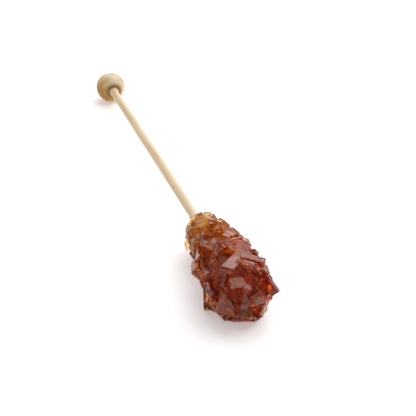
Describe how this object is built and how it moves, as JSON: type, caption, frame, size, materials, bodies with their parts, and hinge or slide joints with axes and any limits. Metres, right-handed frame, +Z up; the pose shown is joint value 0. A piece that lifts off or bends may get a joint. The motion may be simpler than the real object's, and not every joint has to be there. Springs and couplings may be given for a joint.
{
  "type": "rock candy stick",
  "caption": "Rock candy stick: amber sugar crystals grown on the end of a wooden dowel, with a small turned wooden ball as its handle.",
  "frame": {"origin": "on the table, under the middle of the stick's bounding box as it lies", "axes": "+X along the stick from the ball to the sugar crystals, +Z up from the table, +Y across the stick"},
  "size_m": [0.1666, 0.0226, 0.0194],
  "materials": {
    "ball_wood": "smooth turned pale wood, slightly waxed",
    "stick_wood": "plain pale birch dowel with fine lengthwise grain",
    "amber_sugar": "clear to cloudy amber sugar crystals with sharp glossy faces"
  },
  "bodies": {
    "root": {"ball": "ball_wood", "stick": "stick_wood", "sugar_crystals": "amber_sugar"}
  },
  "joints": []
}
